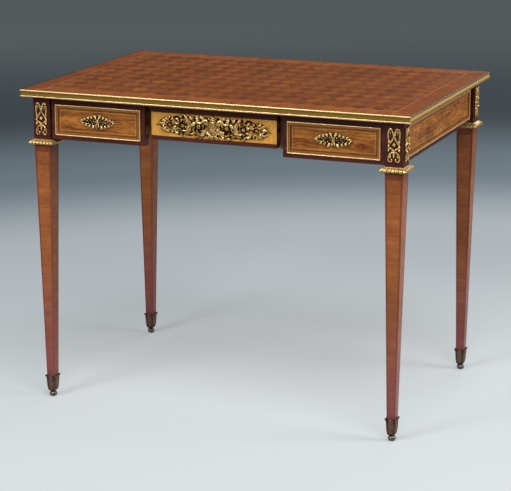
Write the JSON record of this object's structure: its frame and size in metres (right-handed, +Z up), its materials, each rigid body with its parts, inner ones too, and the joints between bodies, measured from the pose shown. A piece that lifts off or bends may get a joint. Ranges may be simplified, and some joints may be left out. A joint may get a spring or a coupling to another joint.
{
  "type": "writing table",
  "caption": "Neoclassical writing table with a parquetry top edged in brass, a frieze with locking drawers, gilt bronze mounts, and square tapering legs on bronze shoes and ball feet.",
  "frame": {"origin": "on the floor, under the middle of the top", "axes": "+X to the right as one faces the drawers, +Y to the back, +Z up"},
  "size_m": [0.94, 0.65, 0.75],
  "materials": {
    "parquetry_top": "polished tulipwood lozenge parquetry with a crossbanded border",
    "brass_edge": "lacquered gilt brass moulding, worn bright on the beads",
    "tulipwood_leg": "polished tulipwood veneer with dark corner lines",
    "gilt_capital": "chased gilt bronze",
    "dark_bronze": "dark brown patinated bronze",
    "dark_foot": "dark polished metal",
    "gilt_mount": "chased gilt bronze with dark recesses",
    "rail_veneer": "tulipwood panel with an amaranth border, polished",
    "brass_frame": "gilt brass moulding",
    "carcass_oak": "oiled oak",
    "side_drawer_veneer": "tulipwood panel with an amaranth border, polished",
    "centre_drawer_veneer": "pale golden satinwood panel with amaranth edges, polished",
    "drawer_oak": "dry planed oak",
    "lock_brass": "plain lock brass",
    "lock_steel": "filed steel"
  },
  "bodies": {
    "table": {"top_board": "parquetry_top", "top_edge_moulding": "brass_edge", "front_left_leg": "tulipwood_leg", "front_right_leg": "tulipwood_leg", "back_left_leg": "tulipwood_leg", "back_right_leg": "tulipwood_leg", "front_left_capital": "gilt_capital", "front_right_capital": "gilt_capital", "back_left_capital": "gilt_capital", "back_right_capital": "gilt_capital", "front_left_sabot": "dark_bronze", "front_right_sabot": "dark_bronze", "back_left_sabot": "dark_bronze", "back_right_sabot": "dark_bronze", "front_left_foot": "dark_foot", "front_right_foot": "dark_foot", "back_left_foot": "dark_foot", "back_right_foot": "dark_foot", "front_left_corner_mounts": "gilt_mount", "front_right_corner_mounts": "gilt_mount", "back_left_corner_mounts": "gilt_mount", "back_right_corner_mounts": "gilt_mount", "left_side_rail": "rail_veneer", "right_side_rail": "rail_veneer", "back_rail": "rail_veneer", "left_side_frame": "brass_frame", "right_side_frame": "brass_frame", "back_frames": "brass_frame", "front_top_rail": "carcass_oak", "left_partition": "carcass_oak", "right_partition": "carcass_oak", "left_drawer_runners": "carcass_oak", "centre_drawer_runners": "carcass_oak", "right_drawer_runners": "carcass_oak", "top_blocks": "carcass_oak", "top_screws": "lock_steel"},
    "left_drawer": {"left_drawer_front": "side_drawer_veneer", "left_drawer_sides": "drawer_oak", "left_drawer_back": "drawer_oak", "left_drawer_bottom": "drawer_oak", "left_drawer_mount": "gilt_mount", "left_lock_case": "lock_brass", "left_drawer_frame": "brass_frame"},
    "left_bolt": {"left_lock_bolt": "lock_steel"},
    "centre_drawer": {"centre_drawer_front": "centre_drawer_veneer", "centre_drawer_sides": "drawer_oak", "centre_drawer_back": "drawer_oak", "centre_drawer_bottom": "drawer_oak", "centre_drawer_mount": "gilt_mount", "centre_lock_case": "lock_brass"},
    "centre_bolt": {"centre_lock_bolt": "lock_steel"},
    "right_drawer": {"right_drawer_front": "side_drawer_veneer", "right_drawer_sides": "drawer_oak", "right_drawer_back": "drawer_oak", "right_drawer_bottom": "drawer_oak", "right_drawer_mount": "gilt_mount", "right_lock_case": "lock_brass", "right_drawer_frame": "brass_frame"},
    "right_bolt": {"right_lock_bolt": "lock_steel"}
  },
  "joints": [
    {"name": "left_drawer_slide", "type": "slide", "parent": "table", "child": "left_drawer", "axis": [0, -1, 0], "range_m": [0, 0.32]},
    {"name": "centre_drawer_slide", "type": "slide", "parent": "table", "child": "centre_drawer", "axis": [0, -1, 0], "range_m": [0, 0.32]},
    {"name": "right_drawer_slide", "type": "slide", "parent": "table", "child": "right_drawer", "axis": [0, -1, 0], "range_m": [0, 0.32]},
    {"name": "left_bolt_throw", "type": "slide", "parent": "left_drawer", "child": "left_bolt", "axis": [0, 0, 1], "range_m": [0, 0.006]},
    {"name": "centre_bolt_throw", "type": "slide", "parent": "centre_drawer", "child": "centre_bolt", "axis": [0, 0, 1], "range_m": [0, 0.006]},
    {"name": "right_bolt_throw", "type": "slide", "parent": "right_drawer", "child": "right_bolt", "axis": [0, 0, 1], "range_m": [0, 0.006]}
  ]
}
